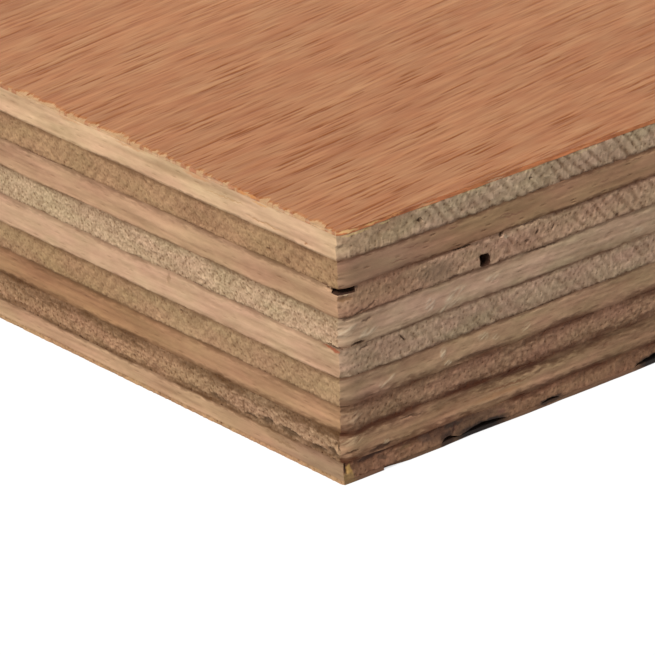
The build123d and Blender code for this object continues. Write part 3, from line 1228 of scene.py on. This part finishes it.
def split_shade_material():
    """Old split hardwood inside a break, painted dark: dust and glue on it, and painted shade for
    the little light that reaches in.
    """
    name = "dusty_split_hardwood"
    if name in bpy.data.materials:
        return bpy.data.materials[name]
    material, tree, place = start_material(name)
    fibres = streaks(tree, place, 1.5, 0.2, 5.0, 3.0)
    # Painted shade: the split wood runs from near black to dark brown
    wood = cover(tree, fibres, linear("#24120A"), linear("#5E3C28"))
    finish_material(tree, wood, times(tree, fibres, 0.1), 0.9)
    return material


def skin_material(node, colours):
    """Red tropical hardwood, peeled and drum sanded: satin, with open pores in fine dark dashes
    that run a few degrees off the sheet's length. Pale torn wood shows where the saw chipped it."""
    material, tree, place = start_material(f"sanded_red_hardwood_veneer_{node}")
    grain = skin_grain(tree, place, node)
    weights = {"hair": 0.9, "lines": 1.0, "clouds": 0.5, "bands": 0.5, "figure": 0.8}
    tone = weigh(
        tree,
        0.5 - 0.5 * sum(weights.values()),
        [(grain[name], weight) for name, weight in weights.items()],
    )
    wood = shade(tree, colours.face_skin, tone, *SKIN_SHADES)
    hue = remap(tree, grain["clouds"], 0.35, 0.65)
    hue = cover(tree, hue, (1.03, 0.97, 0.94), (0.98, 1.02, 1.04))
    wood = add(tree, VECTOR_MATH, {0: wood, 1: hue}, operation="MULTIPLY").outputs[0]
    hollows = weigh(tree, 0.0, ((grain["deep pores"], 1.0), (grain["fine pores"], 0.55)))
    wood = cover(tree, hollows, wood, colours.face_pore)
    if node == "face_veneer":
        torn = remap(tree, sawn_tone(tree, place, node, "end"), 0.0, 1.0)
        torn = shade(tree, colours.torn_face, torn, *TORN_SHADES)
        wood = cover(tree, arris_chips(tree, place), wood, torn)
    height = weigh(tree, 0.0, ((hollows, -0.02), (grain["hair"], 0.02)))
    finish_material(tree, wood, height, 0.55)
    return material


def make_ply(node, context):
    """Model one ply, with its sawn edges, and its skin if it is an outer one."""
    sizes = context.scene.sheet_sizes
    colours = context.scene.veneer_colours
    reach = (sizes.side_stretch, sizes.end_stretch)
    materials = [sawn_material(node, colours, face) for face in ("side", "end")]
    skin_side = {"face_veneer": 1, "back_veneer": -1}.get(node, 0)
    if skin_side:
        materials.append(skin_material(node, colours))
    if node == "face_veneer":
        reach = (sizes.face_stretch, sizes.face_stretch)
    piece = add_block(node)
    if node in JOINTS:
        open_joint(piece, node, sizes)
    divide_edges(piece, node, reach, sizes.grid)
    paint(piece, materials, skin_side)
    roughen(piece, node, reach)
    if node == "core_ply_6":
        void = add_prism(VOID_MOUTH, -OVERRUN, sizes.void_reach / MM, upright=False)
        cut_away(piece, void, split_shade_material())
        slot = add_prism(CORNER_SLOT, *SLOT_HEIGHTS, upright=True)
        cut_away(piece, slot, split_shade_material())
    if node == "lower_crossband":
        for outline, reach_in in POCKETS:
            pocket = add_prism(outline, -OVERRUN, reach_in, upright=False)
            cut_away(piece, pocket, split_shade_material())
    if node == "back_veneer":
        cut_away(piece, add_prism(TORN_STRIP, *TEAR_HEIGHTS, upright=True))
    hand_over(piece, node)


class PLYWOOD_OT_outer_veneers(Operator):
    """Model the red hardwood face and back veneers"""

    bl_idname = "plywood.outer_veneers"
    bl_label = "Outer veneers"

    def execute(self, context):
        for node in ("face_veneer", "back_veneer"):
            make_ply(node, context)
        return {"FINISHED"}


class PLYWOOD_OT_crossbands(Operator):
    """Model the tan crossbands under the outer veneers"""

    bl_idname = "plywood.crossbands"
    bl_label = "Crossbands"

    def execute(self, context):
        for node in ("upper_crossband", "lower_crossband"):
            make_ply(node, context)
        return {"FINISHED"}


class PLYWOOD_OT_core_plies(Operator):
    """Model the seven thick core plies"""

    bl_idname = "plywood.core_plies"
    bl_label = "Core plies"

    def execute(self, context):
        for node in PLIES:
            if node.startswith("core_ply"):
                make_ply(node, context)
        return {"FINISHED"}


def seen_by_camera(tree):
    """1 where the camera sees a thing straight, mirrored or through glass, and 0 for the light."""
    path = add(tree, "ShaderNodeLightPath").outputs
    seen = path["Is Camera Ray"]
    for way in ("Is Glossy Ray", "Is Transmission Ray"):
        seen = add(tree, MATH, {0: seen, 1: path[way]}, operation="MAXIMUM")
    return seen


class PLYWOOD_OT_studio(Operator):
    """Set up the floor, the lights and the camera"""

    bl_idname = "plywood.studio"
    bl_label = "Studio"

    def execute(self, context):
        studio = context.scene.studio_settings
        self.add_camera(context, studio)
        self.add_floor()
        self.add_lights(context, studio)
        context.scene.view_settings.view_transform = "Standard"
        return {"FINISHED"}

    def add_camera(self, context, studio):
        """Look at the near corner, as the photograph does."""
        turn, rise, roll = studio.azimuth, studio.elevation, studio.roll
        back = Vector(
            (math.sin(turn) * math.cos(rise), -math.cos(turn) * math.cos(rise), math.sin(rise))
        )
        level = Vector((math.cos(turn), math.sin(turn), 0))
        upright = back.cross(level)
        right = level * math.cos(roll) + upright * math.sin(roll)
        up = upright * math.cos(roll) - level * math.sin(roll)
        corner = Vector((sheet_low.x, sheet_low.y, 0))
        aside, above = AIM
        place = corner + right * aside * MM + up * above * MM + back * studio.distance
        bpy.ops.object.camera_add(
            location=place, rotation=Matrix((right, up, back)).transposed().to_euler()
        )
        camera = context.object
        camera.name = "camera"
        camera.data.lens = studio.lens
        camera.data.sensor_width = 36.0
        camera.data.clip_start = 0.02
        camera.data.clip_end = 200.0
        context.scene.camera = camera

    def add_floor(self):
        """A wide pale floor, drawn white to the camera where nothing shades it."""
        bpy.ops.object.select_all(action="DESELECT")
        bpy.ops.mesh.primitive_plane_add(size=FLOOR_WIDTH, location=(0, 0, -FLOOR_DROP * MM))
        floor = bpy.context.object
        floor.name = "floor"
        bpy.ops.object.transform_apply(location=True, rotation=True, scale=True)
        material = bpy.data.materials.new("matt_white_paper_sweep")
        material.use_nodes = True
        tree = material.node_tree
        tree.nodes.clear()
        grey = (PAPER_GREY, PAPER_GREY, PAPER_GREY, 1)
        paper = add(tree, "ShaderNodeBsdfDiffuse", {"Color": grey})
        seen = seen_by_camera(tree)
        glow = add(tree, "ShaderNodeEmission", {"Strength": times(tree, seen, PAPER_GLOW)})
        both = add(tree, "ShaderNodeAddShader", {0: paper, 1: glow})
        add(tree, "ShaderNodeOutputMaterial", {"Surface": both})
        floor.data.materials.append(material)

    def add_lights(self, context, studio):
        """One wide soft lamp at the upper left, and even light from all round."""
        towards = Vector(LAMP_WAY)
        bpy.ops.object.light_add(
            type="SUN", location=(-2, -2, 3), rotation=towards.to_track_quat("Z", "Y").to_euler()
        )
        lamp = context.object
        lamp.name = "key_light"
        lamp.data.energy = studio.key
        lamp.data.angle = math.radians(LAMP_WIDTH)
        world = bpy.data.worlds.new("studio")
        context.scene.world = world
        world.use_nodes = True
        tree = world.node_tree
        tree.nodes.clear()
        seen = seen_by_camera(tree)
        strength = add(
            tree,
            MATH,
            {0: seen, 1: 1.0 - studio.fill, 2: studio.fill},
            operation="MULTIPLY_ADD",
        )
        light = add(tree, "ShaderNodeBackground", {"Color": (1, 1, 1, 1), "Strength": strength})
        add(tree, "ShaderNodeOutputWorld", {"Surface": light})


class PLYWOOD_PT_sheet(Panel):
    """Buttons and sizes of the plywood sheet"""

    bl_label = "Plywood sheet"
    bl_idname = "PLYWOOD_PT_sheet"
    bl_space_type = "VIEW_3D"
    bl_region_type = "UI"
    bl_category = "Plywood"

    def draw(self, context):
        layout = self.layout
        for operator in OPERATORS:
            layout.operator(operator.bl_idname)
        for name, group in GROUPS.items():
            box = layout.box()
            box.label(text=group.__doc__)
            for setting in group.__annotations__:
                box.prop(getattr(context.scene, name), setting)


GROUPS = {
    "sheet_sizes": SheetSizes,
    "veneer_colours": VeneerColours,
    "studio_settings": StudioSettings,
}
OPERATORS = (
    PLYWOOD_OT_outer_veneers,
    PLYWOOD_OT_crossbands,
    PLYWOOD_OT_core_plies,
    PLYWOOD_OT_studio,
)


def register():
    for group in GROUPS.values():
        bpy.utils.register_class(group)
    for operator in OPERATORS:
        bpy.utils.register_class(operator)
    bpy.utils.register_class(PLYWOOD_PT_sheet)
    for name, group in GROUPS.items():
        setattr(bpy.types.Scene, name, PointerProperty(type=group))


def unregister():
    for name in GROUPS:
        delattr(bpy.types.Scene, name)
    bpy.utils.unregister_class(PLYWOOD_PT_sheet)
    for operator in reversed(OPERATORS):
        bpy.utils.unregister_class(operator)
    for group in reversed(GROUPS.values()):
        bpy.utils.unregister_class(group)


def main():
    register()
    bpy.ops.plywood.studio()
    bpy.ops.plywood.outer_veneers()
    bpy.ops.plywood.crossbands()
    bpy.ops.plywood.core_plies()


if __name__ == "__main__":
    main()
